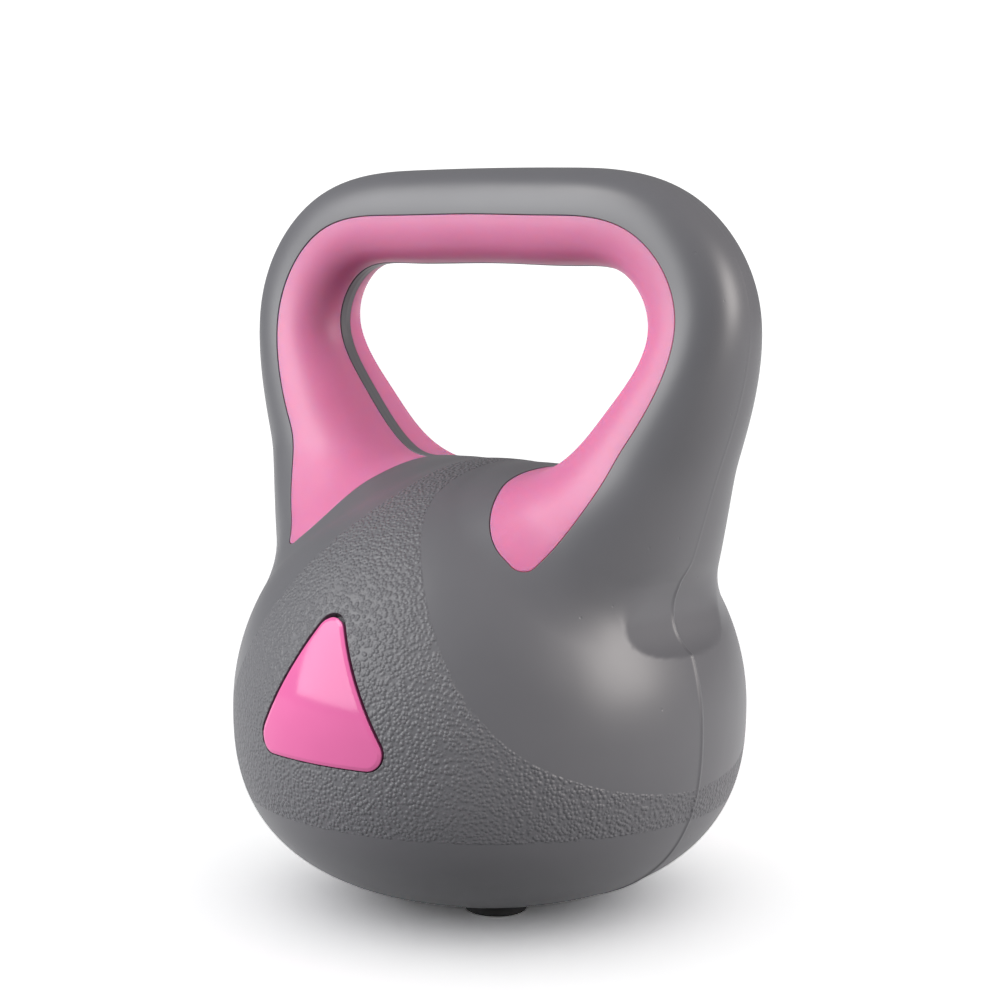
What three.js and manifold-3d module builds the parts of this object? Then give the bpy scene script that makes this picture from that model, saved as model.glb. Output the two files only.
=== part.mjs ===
// Cement-filled kettlebell with two coloured grip inlays, two badges, a fill plug and four feet.
// Millimetres, +Z up, origin on the floor plane under the middle of the ball.
// The bar of the handle runs along X, and the front badge faces -Y.
import * as THREE from "three";
import { mergeVertices } from "three/addons/utils/BufferGeometryUtils.js";
import Module from "manifold-3d";

const wasm = await Module();
wasm.setup();

// Driving dimensions
const CLEARANCE = 0.3; // left between neighbouring pieces
const WALL = 4.5; // thickness of the moulded shell
const FLOOR_CLEARANCE = 1.5; // height of the shell's base above the floor

const BALL_RADIUS = 82.5;
const BALL_DEPTH_RATIO = 1.02; // the ball is slightly deeper (Y) than wide (X)
const BALL_RISE = 79; // from the widest level to the top
const BALL_DROP = 61.8; // from the widest level to the base
const TOP_POWER = 2; // superellipse exponents of the profile: 2 is round, more is squarer
const BASE_POWER = 2.54;
const EQUATOR_Z = FLOOR_CLEARANCE + BALL_DROP;

// Ribs of the handle from the middle of the bar down to the root inside the ball, on the +X side:
// the outermost and innermost point of the section in the XZ plane, and half its depth along Y.
const HANDLE_RIBS = [
  { outer: [0, 235], inner: [0, 204.9], halfDepth: 14.5 },
  { outer: [31, 234.7], inner: [31, 204.4], halfDepth: 14.5 },
  { outer: [70.3, 227.6], inner: [54.3, 201.7], halfDepth: 14.5 },
  { outer: [96.2, 193], inner: [64.2, 183.5], halfDepth: 15.8 },
  { outer: [89.2, 151], inner: [52.5, 162.4], halfDepth: 22.2 },
  { outer: [83.8, 135], inner: [33.3, 143.5], halfDepth: 28.2 },
  { outer: [71.2, 97], inner: [13.6, 135.6], halfDepth: 42 },
  { outer: [62, 82], inner: [8, 114.5], halfDepth: 40 },
];
const SECTION_POWER = 2.43; // superellipse exponent of the handle's section

const INLAY_THICKNESS = 2;
const STRIP_HALF_WIDTH = 3; // shell left showing between the two inlays, inside the window

const SCALLOP_RADIUS = 15; // hollow across the ball under each leg's outer side, a cylinder along Y
const SCALLOP_X = 86;
const SCALLOP_Z = 100.5;

const BADGE_BASE_Z = 56.5; // lower edge of the triangular badge
const BADGE_APEX_Z = 105.2; // where its sides would meet
const BADGE_HALF_WIDTH = 28;
const BADGE_CORNER = 9; // from each corner to where its rounding starts
const BADGE_RISE = 0.3; // above the shell's surface
const BADGE_THICKNESS = 2;
const TAPE_THICKNESS = 0.6;
const TAPE_MARGIN = 3; // from the badge's edge to the tape's edge

const FOOT_RADIUS = 10;
const FOOT_HEIGHT = 4;
const FOOT_CHAMFER = 0.8;
const FOOT_OFFSET = 15.5; // from each centre plane to a foot's centre

const FILL_BORE_RADIUS = 7.8;
const FILL_BOSS_RADIUS = 14;
const FILL_BOSS_TOP = 13;
const PLUG_FLANGE_RADIUS = 10;
const PLUG_FLANGE_THICKNESS = 2;
const PLUG_RECESS = 0.4; // flange below the shell's base
const PLUG_SLOT = { length: 13, width: 2.2, depth: 1 };
const SEAL_RADIUS = 8.9; // to the middle of the ring's section
const SEAL_SECTION_RADIUS = 0.9;

// Facets: fine on the outside, plain on the cavity and its fill. A ball row count is for each half of the
// profile, and the handle's steps are from one rib to the next.
const FINE = { ballSegments: 40, ballRows: 14, ribSteps: 3, sectionSegments: 20 };
const PLAIN = { ballSegments: 28, ballRows: 9, ribSteps: 2, sectionSegments: 14 };
const INLAY_ARC_SEGMENTS = 6;
const SMALL_SEGMENTS = 24;
const RING_SECTION_SEGMENTS = 8;

const QUARTER_TURN = Math.PI / 2;
const WELD_DISTANCE = 1e-4; // points closer than this are one point

// Solids: three.js makes the shapes, and manifold-3d cuts and joins them.
function toSolid(geometry) {
  const bare = geometry.clone();
  bare.deleteAttribute("normal");
  bare.deleteAttribute("uv");
  const merged = mergeVertices(bare, WELD_DISTANCE);
  const mesh = new wasm.Mesh({
    numProp: 3,
    vertProperties: new Float32Array(merged.attributes.position.array),
    triVerts: new Uint32Array(merged.index.array),
  });
  mesh.merge();
  return new wasm.Manifold(mesh);
}

function toGeometry(solid) {
  const { vertProperties, triVerts } = solid.getMesh();
  const geometry = new THREE.BufferGeometry();
  geometry.setAttribute("position", new THREE.BufferAttribute(vertProperties, 3));
  geometry.setIndex(new THREE.BufferAttribute(triVerts, 1));
  geometry.computeVertexNormals();
  return geometry;
}

// A closed solid through rings of points that all have the same count, capped flat at both ends.
function loft(rings) {
  const count = rings[0].length;
  const positions = rings.flat().flatMap((point) => point.toArray());
  const indices = [];
  for (let row = 0; row < rings.length - 1; row += 1) {
    for (let i = 0; i < count; i += 1) {
      const next = (i + 1) % count;
      const a = row * count + i;
      const b = row * count + next;
      const c = a + count;
      const d = b + count;
      indices.push(a, d, b, a, c, d);
    }
  }
  const outline = rings[0].map((point) => new THREE.Vector2(point.y, point.z));
  const cap = THREE.ShapeUtils.triangulateShape(outline, []);
  const last = (rings.length - 1) * count;
  for (const [a, b, c] of cap) {
    indices.push(a, b, c, last + a, last + c, last + b);
  }
  const geometry = new THREE.BufferGeometry();
  geometry.setAttribute("position", new THREE.Float32BufferAttribute(positions, 3));
  geometry.setIndex(indices);
  return geometry;
}

function signedPower(value, power) {
  return Math.sign(value) * Math.abs(value) ** power;
}

function turned(points, segments = SMALL_SEGMENTS) {
  const profile = points.map(([radius, height]) => new THREE.Vector2(radius, height));
  return new THREE.LatheGeometry(profile, segments).rotateX(QUARTER_TURN);
}

function cylinder(radius, bottom, top) {
  return turned([
    [0, bottom],
    [radius, bottom],
    [radius, top],
    [0, top],
  ]);
}

// The ball, drawn in by an even inset all round
function ball(inset, facets = FINE) {
  const profile = [];
  for (let row = -facets.ballRows; row <= facets.ballRows; row += 1) {
    const atPole = Math.abs(row) === facets.ballRows;
    const angle = (row / facets.ballRows) * QUARTER_TURN;
    const power = 2 / (row < 0 ? BASE_POWER : TOP_POWER);
    const height = (row < 0 ? BALL_DROP : BALL_RISE) - inset;
    const radius = atPole ? 0 : (BALL_RADIUS - inset) * Math.cos(angle) ** power;
    profile.push([radius, EQUATOR_Z + height * signedPower(Math.sin(angle), power)]);
  }
  return turned(profile, facets.ballSegments).scale(1, BALL_DEPTH_RATIO, 1);
}

// The cylinder along Y that hollows the ball out under one leg
function scallop(side) {
  const length = 4 * BALL_RADIUS;
  const round = new THREE.CylinderGeometry(SCALLOP_RADIUS, SCALLOP_RADIUS, length, FINE.ballSegments);
  return toSolid(round).translate(side * SCALLOP_X, 0, SCALLOP_Z);
}

// The handle: one row of frames from the -X root over the bar to the +X root
function handleFrames(facets) {
  const mirrored = HANDLE_RIBS.slice(1).reverse().map((rib) => ({
    outer: [-rib.outer[0], rib.outer[1]],
    inner: [-rib.inner[0], rib.inner[1]],
    halfDepth: rib.halfDepth,
  }));
  const ribs = [...mirrored, ...HANDLE_RIBS];
  const through = (point) => new THREE.CatmullRomCurve3(ribs.map(point), false, "catmullrom", 0.5);
  const outerLine = through((rib) => new THREE.Vector3(rib.outer[0], 0, rib.outer[1]));
  const innerLine = through((rib) => new THREE.Vector3(rib.inner[0], 0, rib.inner[1]));
  const depthLine = through((rib, index) => new THREE.Vector3(index, rib.halfDepth, 0));
  const steps = (ribs.length - 1) * facets.ribSteps;
  return Array.from({ length: steps + 1 }, (_, step) => {
    const outer = outerLine.getPoint(step / steps);
    const inner = innerLine.getPoint(step / steps);
    const toWindow = inner.clone().sub(outer);
    return {
      centre: inner.clone().add(outer).multiplyScalar(0.5),
      halfWidth: toWindow.length() / 2,
      halfDepth: depthLine.getPoint(step / steps).y,
      toWindow: toWindow.normalize(),
    };
  });
}

// A point of a section: angle 0 faces the window, and a quarter turn faces the front (-Y).
function sectionPoint(frame, angle, inset) {
  const across = (frame.halfWidth - inset) * signedPower(Math.cos(angle), 2 / SECTION_POWER);
  const forward = (frame.halfDepth - inset) * signedPower(Math.sin(angle), 2 / SECTION_POWER);
  return frame.centre.clone().addScaledVector(frame.toWindow, across).setY(-forward);
}

function handle(inset, facets = FINE) {
  const angles = Array.from(
    { length: facets.sectionSegments },
    (_, i) => (i / facets.sectionSegments) * 4 * QUARTER_TURN,
  );
  const ring = (frame) => angles.map((angle) => sectionPoint(frame, angle, inset));
  return loft(handleFrames(facets).map(ring));
}

// The front inlay's strip of skin, from the strip inside the window round to the foremost line of the
// handle. Growth widens and deepens it and rise lifts its face, which makes the recess that it sits in.
function frontInlayStrip(growth, rise) {
  const rings = handleFrames(FINE).map((frame) => {
    const reach = (STRIP_HALF_WIDTH - growth) / frame.halfDepth;
    const start = Math.asin(reach ** (SECTION_POWER / 2));
    const end = QUARTER_TURN + (growth / frame.halfWidth) ** (SECTION_POWER / 2);
    const angles = Array.from(
      { length: INLAY_ARC_SEGMENTS + 1 },
      (_, i) => start + ((end - start) * i) / INLAY_ARC_SEGMENTS,
    );
    const outside = angles.map((angle) => sectionPoint(frame, angle, -rise));
    const inside = angles.map((angle) => sectionPoint(frame, angle, INLAY_THICKNESS + growth));
    return [...outside, ...inside.reverse()];
  });
  return loft(rings);
}

const REAR = new THREE.Matrix4().makeScale(-1, -1, 1); // half a turn about Z

const ballSolid = toSolid(ball(0));
const handleSolid = toSolid(handle(0));
const cavity = toSolid(ball(WALL, PLAIN)).add(toSolid(handle(WALL, PLAIN)));

function frontInlay() {
  return toSolid(frontInlayStrip(0, 0)).subtract(ballSolid);
}

function frontInlayRecess() {
  return toSolid(frontInlayStrip(CLEARANCE, WALL)).subtract(toSolid(ball(CLEARANCE)));
}

// Badge and tape: a triangle with rounded corners, cut out of layers just under the ball's surface
function badgeOutline(margin) {
  const middleZ = BADGE_BASE_Z + (BADGE_APEX_Z - BADGE_BASE_Z) / 3;
  const corners = [
    new THREE.Vector2(-BADGE_HALF_WIDTH, BADGE_BASE_Z),
    new THREE.Vector2(BADGE_HALF_WIDTH, BADGE_BASE_Z),
    new THREE.Vector2(0, BADGE_APEX_Z),
  ];
  const centre = new THREE.Vector2(0, middleZ);
  const inRadius = middleZ - BADGE_BASE_Z;
  const scaled = corners.map((corner) => corner.sub(centre).multiplyScalar(1 - margin / inRadius).add(centre));
  const shape = new THREE.Shape();
  scaled.forEach((corner, i) => {
    const towards = (other) => other.clone().sub(corner).setLength(BADGE_CORNER).add(corner);
    const arrive = towards(scaled[(i + 2) % 3]);
    const leave = towards(scaled[(i + 1) % 3]);
    if (i === 0) {
      shape.moveTo(arrive.x, arrive.y);
    } else {
      shape.lineTo(arrive.x, arrive.y);
    }
    shape.quadraticCurveTo(corner.x, corner.y, leave.x, leave.y);
  });
  shape.closePath();
  return shape;
}

function badgeLayer(margin, topInset, bottomInset) {
  const prism = new THREE.ExtrudeGeometry(badgeOutline(margin), {
    depth: BALL_RADIUS,
    bevelEnabled: false,
    curveSegments: 4,
  }).rotateX(QUARTER_TURN);
  const layer = toSolid(ball(topInset)).subtract(toSolid(ball(bottomInset)));
  return toSolid(prism).translate(0, -BALL_RADIUS / 4, 0).intersect(layer);
}

const BADGE_BACK = BADGE_THICKNESS - BADGE_RISE;
const TAPE_FRONT = BADGE_BACK + CLEARANCE;
const TAPE_BACK = TAPE_FRONT + TAPE_THICKNESS;

function frontBadge() {
  return badgeLayer(0, -BADGE_RISE, BADGE_BACK);
}

function frontBadgeTape() {
  return badgeLayer(TAPE_MARGIN, TAPE_FRONT, TAPE_BACK);
}

function frontBadgeRecess() {
  return badgeLayer(-CLEARANCE, -WALL, TAPE_BACK + CLEARANCE);
}

// Feet
const FOOT_PLACES = {
  front_right_foot: [FOOT_OFFSET, -FOOT_OFFSET],
  front_left_foot: [-FOOT_OFFSET, -FOOT_OFFSET],
  rear_right_foot: [FOOT_OFFSET, FOOT_OFFSET],
  rear_left_foot: [-FOOT_OFFSET, FOOT_OFFSET],
};

function foot() {
  return turned([
    [0, 0],
    [FOOT_RADIUS - FOOT_CHAMFER, 0],
    [FOOT_RADIUS, FOOT_CHAMFER],
    [FOOT_RADIUS, FOOT_HEIGHT],
    [0, FOOT_HEIGHT],
  ]);
}

function footRecess([x, y]) {
  const well = cylinder(FOOT_RADIUS + CLEARANCE, 0, FOOT_HEIGHT + CLEARANCE);
  return toSolid(well).translate(x, y, 0);
}

// Fill plug, its sealing ring, and the boss that they close
const FLANGE_BOTTOM = FLOOR_CLEARANCE + PLUG_RECESS;
const FLANGE_TOP = FLANGE_BOTTOM + PLUG_FLANGE_THICKNESS;
const SEAL_Z = FLANGE_TOP + CLEARANCE + SEAL_SECTION_RADIUS;
const SEAL_SEAT_Z = SEAL_Z + SEAL_SECTION_RADIUS + CLEARANCE;
const STEM_RADIUS = SEAL_RADIUS - SEAL_SECTION_RADIUS - CLEARANCE - CLEARANCE;

function fillPlug() {
  const flange = toSolid(cylinder(PLUG_FLANGE_RADIUS, FLANGE_BOTTOM, FLANGE_TOP));
  const stem = toSolid(cylinder(STEM_RADIUS, FLANGE_BOTTOM, FILL_BOSS_TOP));
  const slotBox = new THREE.BoxGeometry(PLUG_SLOT.length, PLUG_SLOT.width, 2 * PLUG_SLOT.depth);
  const slot = toSolid(slotBox).translate(0, 0, FLANGE_BOTTOM);
  return flange.add(stem).subtract(slot);
}

function plugSeal() {
  const section = Array.from({ length: RING_SECTION_SEGMENTS + 1 }, (_, i) => {
    const angle = ((i % RING_SECTION_SEGMENTS) / RING_SECTION_SEGMENTS) * 4 * QUARTER_TURN;
    const radius = SEAL_RADIUS + SEAL_SECTION_RADIUS * Math.cos(angle);
    return [radius, SEAL_Z + SEAL_SECTION_RADIUS * Math.sin(angle)];
  });
  return toSolid(turned(section));
}

function fillBoss() {
  return toSolid(cylinder(FILL_BOSS_RADIUS, FLOOR_CLEARANCE + WALL / 2, FILL_BOSS_TOP));
}

function fillBore() {
  const through = toSolid(cylinder(FILL_BORE_RADIUS, 0, FILL_BOSS_TOP + CLEARANCE));
  const well = toSolid(cylinder(PLUG_FLANGE_RADIUS + CLEARANCE, 0, SEAL_SEAT_Z));
  return through.add(well);
}

// Shell and fill
function bodyShell() {
  const skin = ballSolid.add(handleSolid).subtract(scallop(1)).subtract(scallop(-1));
  let shell = skin.subtract(cavity).add(fillBoss()).subtract(fillBore());
  for (const recess of [frontInlayRecess(), frontBadgeRecess()]) {
    shell = shell.subtract(recess).subtract(recess.transform(REAR.elements));
  }
  for (const place of Object.values(FOOT_PLACES)) {
    shell = shell.subtract(footRecess(place));
  }
  return shell;
}

function mortarFill() {
  const inset = WALL + CLEARANCE;
  const room = cylinder(FILL_BOSS_RADIUS + CLEARANCE, 0, FILL_BOSS_TOP + CLEARANCE);
  return toSolid(ball(inset, PLAIN)).add(toSolid(handle(inset, PLAIN))).subtract(toSolid(room));
}

// Materials
const greyPlastic = new THREE.MeshStandardMaterial({ color: 0x5f5e63, roughness: 0.45, metalness: 0 });
const pinkPlastic = new THREE.MeshStandardMaterial({ color: 0xd8749f, roughness: 0.5, metalness: 0 });
const pinkGloss = new THREE.MeshStandardMaterial({ color: 0xe0569c, roughness: 0.12, metalness: 0 });
const mortar = new THREE.MeshStandardMaterial({ color: 0x8d8880, roughness: 0.95, metalness: 0 });
const tape = new THREE.MeshStandardMaterial({ color: 0xe8e6df, roughness: 0.8, metalness: 0 });
const blackRubber = new THREE.MeshStandardMaterial({ color: 0x222224, roughness: 0.85, metalness: 0 });

// Assembly
const kettlebell = new THREE.Group();

function addPiece(name, geometry, material) {
  const mesh = new THREE.Mesh(geometry, material);
  mesh.name = name;
  kettlebell.add(mesh);
  return mesh;
}

function addPair(name, frontSolid, material) {
  const geometry = toGeometry(frontSolid);
  addPiece(`front_${name}`, geometry, material);
  addPiece(`rear_${name}`, geometry, material).rotation.z = 2 * QUARTER_TURN;
}

addPiece("body_shell", toGeometry(bodyShell()), greyPlastic);
addPiece("mortar_fill", toGeometry(mortarFill()), mortar);
addPair("grip_inlay", frontInlay(), pinkPlastic);
addPair("badge", frontBadge(), pinkGloss);
addPair("badge_tape", frontBadgeTape(), tape);
addPiece("fill_plug", toGeometry(fillPlug()), greyPlastic);
addPiece("plug_seal", toGeometry(plugSeal()), blackRubber);
for (const [name, [x, y]] of Object.entries(FOOT_PLACES)) {
  addPiece(name, foot(), blackRubber).position.set(x, y, 0);
}

export default kettlebell;
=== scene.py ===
"""A kettlebell's looks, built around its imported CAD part: shell, grip inlays, badges, plug and feet."""

import math

import bpy
import numpy as np
from mathutils import Matrix, Vector


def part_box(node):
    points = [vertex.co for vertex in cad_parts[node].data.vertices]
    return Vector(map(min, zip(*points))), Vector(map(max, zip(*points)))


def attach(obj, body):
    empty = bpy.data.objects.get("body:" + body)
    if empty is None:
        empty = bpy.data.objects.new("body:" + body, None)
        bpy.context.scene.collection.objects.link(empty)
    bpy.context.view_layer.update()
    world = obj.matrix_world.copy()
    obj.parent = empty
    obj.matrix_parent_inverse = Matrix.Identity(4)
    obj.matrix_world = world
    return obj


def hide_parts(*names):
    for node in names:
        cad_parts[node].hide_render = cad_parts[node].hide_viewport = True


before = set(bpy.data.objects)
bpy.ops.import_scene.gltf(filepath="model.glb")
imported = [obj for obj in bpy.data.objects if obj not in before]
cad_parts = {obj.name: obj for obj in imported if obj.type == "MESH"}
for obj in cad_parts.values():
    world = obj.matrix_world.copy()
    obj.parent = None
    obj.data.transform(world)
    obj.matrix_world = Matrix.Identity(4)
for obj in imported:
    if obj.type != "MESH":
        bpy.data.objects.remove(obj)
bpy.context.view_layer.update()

MM = 0.001
UP = Vector((0, 0, 1))
columns = np.column_stack

# ---- driving sizes, in millimetres
BALL_RADIUS = 82.5
BALL_DEPTH_RATIO = 1.02
BALL_RISE = 79.0
BALL_DROP = 61.8
TOP_POWER = 2.0
BASE_POWER = 2.54
BASE_Z = 1.5
EQUATOR_Z = BASE_Z + BALL_DROP

# Ribs of the handle on the +X side, from the middle of the bar down to the root inside the ball:
# outermost x and z, innermost x and z, half depth.
HANDLE_RIBS = np.array([
    (0, 235, 0, 204.9, 14.5),
    (31, 234.7, 31, 204.4, 14.5),
    (70.3, 227.6, 54.3, 201.7, 14.5),
    (96.2, 193, 64.2, 183.5, 15.8),
    (89.2, 151, 52.5, 162.4, 22.2),
    (83.8, 135, 33.3, 143.5, 28.2),
    (71.2, 97, 13.6, 135.6, 42),
    (62, 82, 8, 114.5, 40),
])
SECTION_POWER = 2.43
ROOT_BLEND = 8.0  # how widely ball and handle run into each other
ROOT_CAP = 5.0  # how far the handle goes on past its last rib

SCALLOP_RADIUS = 15.0  # hollow across the ball under each leg's outer side
SCALLOP_X, SCALLOP_Z = 86.0, 100.5
SCALLOP_EDGE, SCALLOP_TOP_EDGE = 0.4, 4.0  # how soft its rim is, below and above
SCALLOP_RIM_Z = 98.0, 110.0  # where the rim goes from one to the other

CELL = 1.72  # size of the body's faces
BLOCK = 4  # cells between the samples of the first, coarse pass
NEAR_BLOCKS = 2.2  # the fine pass covers what is this close to the surface
SAMPLE_LOW, SAMPLE_HIGH = (-101.0, -89.0, -4.0), (101.0, 89.0, 240.0)
RIB_TRIES = 321  # ribs tried in turn for each place of the rib map
RIB_MAP_CORNER, RIB_MAP_SIZE = (-2, 60), (112, 190)

LIP_STEPS = 3  # faces across a rounded lip
REFINE_REACH = 2.2  # faces are half the size this close to a cut line
STRIP_HALF_WIDTH = 2.4  # shell showing between the inlays, inside the window
STRIP_ROUNDING = 1.5
EDGE_START = 0.3  # inlay's outer edge from the foremost line of the handle, along the bar
EDGE_SHIFT = 6.5  # and how much farther out it is by the root
EDGE_SHIFT_START, EDGE_SHIFT_END = 4.2, 5.7  # ribs
LOBE_REACH, LOBE_FLARE = 1.2, 2.3  # inlay past the leg's own surface: by the window, and more at its tip
LOBE_FLARE_FROM, LOBE_FLARE_TO = 25.0, 3.0  # where it flares, from the foremost line towards the window
LOBE_ROUNDING = 5.5
INLAY_LOWEST_Z = 100.0  # the inlays are all above this
INLAY_GAP, INLAY_LIP = 0.18, 0.24
INLAY_SINK = 0.15
INLAY_DEPTH = 2.0
POCKET_SPARE = 0.3  # room behind a piece in its pocket
TAPE_ROOM = 1.2

# The triangular badge's pocket: its lower edge, and where its sides would meet
BADGE_BASE_Z, BADGE_APEX_Z = 56.2, 106.8
BADGE_HALF_WIDTH = 29.2
BADGE_ROUNDING = 6.0
BADGE_MIN_Y = 40.0  # the badges are farther from the middle plane than this
BADGE_GAP, BADGE_LIP = 0.65, 0.2
BADGE_DROP = 0.35  # it rests low in its pocket
BADGE_SINK = -0.3  # its middle stands a little proud
BADGE_DEPTH = 2.0
BADGE_BEVEL = 1.3
# The badge's rim: how far out, how far down, and which way it faces, in degrees
BADGE_RIM = [(0.15, 0.015, 14), (BADGE_BEVEL - 0.3, 0.24, 16)]
BADGE_RIM += [(BADGE_BEVEL - 0.08, 0.36, 50), (BADGE_BEVEL, 0.6, 90)]

LINE_HALF_WIDTH = 0.55  # the mould's parting line
LINE_ROWS = (0.0, -0.4, 0.4, -0.8, 0.8, -1.4, 1.4)  # y of the rows of points along it
LINE_HEIGHT, LINE_FAINT = 0.4, 0.05  # on the ball, and on the legs
LINE_FADE_TOP, LINE_FADE_BOTTOM = 118.0, 102.0  # where it goes from one to the other

# Edge of the grained field on one side of the front: x and z, from the ball's top down to its side
GRAIN_LINE_POINTS = [(6.5, 150), (6.5, 136), (16, 122), (30, 102.5), (43, 83), (60, 62), (84, 45)]
GRAIN_STEPS = 60
GRAIN_BASE_Z = 36.0
GRAIN_FROM_HANDLE = 2.5

WELL_LIP = 0.4
WELL_GAP = 0.3
BASE_LIMIT_Z = 20.0  # wells are cut only below this

TURNED_SEGMENTS = 72
CREASE = math.radians(35)  # turned pieces have a sharp edge where they turn more than this
# A foot's tread from its middle outward: radius, and height above the floor
TREAD = [(0, 0.5), (2.4, 0.45), (3.4, 0), (5.6, 0), (5.9, 0.5), (6.7, 0.5), (7.0, 0)]
TREAD_ROUNDING, FOOT_TOP_ROUNDING = 1.1, 0.5
PLUG_FLANGE = 2.0
PLUG_GROOVE = [(2.4, 0), (2.1, 0.25), (1.7, 0.25), (1.4, 0)]  # in from the rim, and up
PLUG_ROUNDING = 0.7
PLUG_STEM_RADIUS, PLUG_STEM_WALL = 7.4, 2.2
PLUG_STEM_TIP = [(0.3, 1), (0.9, 0), (2.2, 0)]  # in from the stem's side, and down from its end
COIN_SLOT_HALF_LENGTH, COIN_SLOT_HALF_WIDTH, COIN_SLOT_DEPTH = 6.5, 1.1, 1.0

# What a face of the shell belongs to
SKIN, INLAY_POCKET, BADGE_POCKET, FOOT_WELL, PLUG_WELL, FLOOR = range(6)
UPWARD = np.array([0.0, 0.0, 1.0])

CAMERA_AZIMUTH, CAMERA_ELEVATION, CAMERA_ROLL = 38.67, 6.27, 0.58  # degrees
CAMERA_TARGET = (1.9, 1.5, 128.9)
CAMERA_DISTANCE = 739.7
CAMERA_LENS, CAMERA_SENSOR = 82.5, 36
CAMERA_CLIP = 0.05, 50  # metres
AIM_Z = 120  # the lights point at this height
FLOOR_HALF_SIDE = 8000
FLOOR_BOUNCE = 0.88  # share of the light that the floor sends back up at the object
BACKDROP = 1.18  # brightness that the camera sees
FILL = 0.285  # light from all round
LIGHT_DISTANCE = 1.5  # metres
# Azimuth and elevation in degrees, width and height in metres, power in watts, colour
SOFTBOXES = {
    "left_softbox": (-34, 20, (1.0, 1.0), 24, (1, 1, 1)),
    "top_softbox": (-38, 47, (0.5, 0.4), 8, (1, 0.98, 0.96)),
    "right_softbox": (103, 23, (0.8, 0.9), 26, (1, 0.95, 0.92)),
}


# ---- shape of the body
class Spline:
    """The smoothest curve through rows of values that stand one unit apart."""

    def __init__(self, values, first):
        count = len(values)
        system = np.eye(count)
        bends = np.zeros_like(values)
        for i in range(1, count - 1):
            system[i, i - 1 : i + 2] = 1, 4, 1
            bends[i] = 6 * (values[i + 1] - 2 * values[i] + values[i - 1])
        self.values = values
        self.bends = np.linalg.solve(system, bends)
        self.first = first
        self.last = first + count - 1

    def __call__(self, where):
        """Values and slopes."""
        along = np.clip(where - self.first, 0, len(self.values) - 1 - 1e-9)
        i = along.astype(int)
        t = (along - i)[..., None]
        u = 1 - t
        y0, y1, m0, m1 = self.values[i], self.values[i + 1], self.bends[i], self.bends[i + 1]
        value = y0 * u + y1 * t + (u**3 - u) * m0 / 6 + (t**3 - t) * m1 / 6
        slope = y1 - y0 + (1 - 3 * u**2) * m0 / 6 + (3 * t**2 - 1) * m1 / 6
        return value, slope


LEFT_RIBS = (HANDLE_RIBS * (-1, 1, -1, 1, 1))[:0:-1]
RIB_LINE = Spline(np.vstack([LEFT_RIBS, HANDLE_RIBS]), -(len(HANDLE_RIBS) - 1))


def cross(a, b):
    return a[..., 0] * b[..., 1] - a[..., 1] * b[..., 0]


def dot(a, b):
    return (a * b).sum(-1)


def find_ribs(flat):
    """The number of the rib that each point (x, z) lies on, to a few hundredths, trying ribs in turn."""
    numbers = np.linspace(-1, RIB_LINE.last, RIB_TRIES)
    best = np.full(len(flat), np.inf)
    found = np.full(len(flat), float(RIB_LINE.last))
    step = numbers[1] - numbers[0]
    before = None
    for number in numbers:
        value, _ = RIB_LINE(np.array(number))
        inner = value[2:4]
        across = value[:2] - inner
        side = cross(flat - inner, across)
        share = np.abs(dot(flat - inner, across) / dot(across, across) - 0.5)
        if before is not None:
            better = (side * before <= 0) & (share < best)
            best[better] = share[better]
            part = np.abs(before) / np.maximum(np.abs(before) + np.abs(side), 1e-9)
            found[better] = (number - step + step * part)[better]
        before = side
    return found


class RibMap:
    """Looks up which rib a point of the XZ plane lies on, in cells of a millimetre."""

    def __init__(self, corner, size):
        self.corner = np.array(corner, float)
        self.last_cell = np.array(size) - 1
        self.table = find_ribs(self.corner + np.indices(size).reshape(2, -1).T).reshape(size)

    def __call__(self, flat):
        cell = np.clip(np.rint(flat - self.corner).astype(int), 0, self.last_cell)
        rib = self.table[cell[..., 0], cell[..., 1]]
        for _ in range(3):
            value, slope = RIB_LINE(rib)
            away = flat - value[..., 2:4]
            across = value[..., :2] - value[..., 2:4]
            turn = slope[..., :2] - slope[..., 2:4]
            error = cross(away, across)
            rate = cross(away, turn) - cross(slope[..., 2:4], across)
            rate = np.where(np.abs(rate) < 1e-6, 1e-6, rate)
            rib = np.clip(rib - np.clip(error / rate, -0.05, 0.05), -1, RIB_LINE.last)
        return rib


RIB_OF = RibMap(RIB_MAP_CORNER, RIB_MAP_SIZE)


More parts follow.
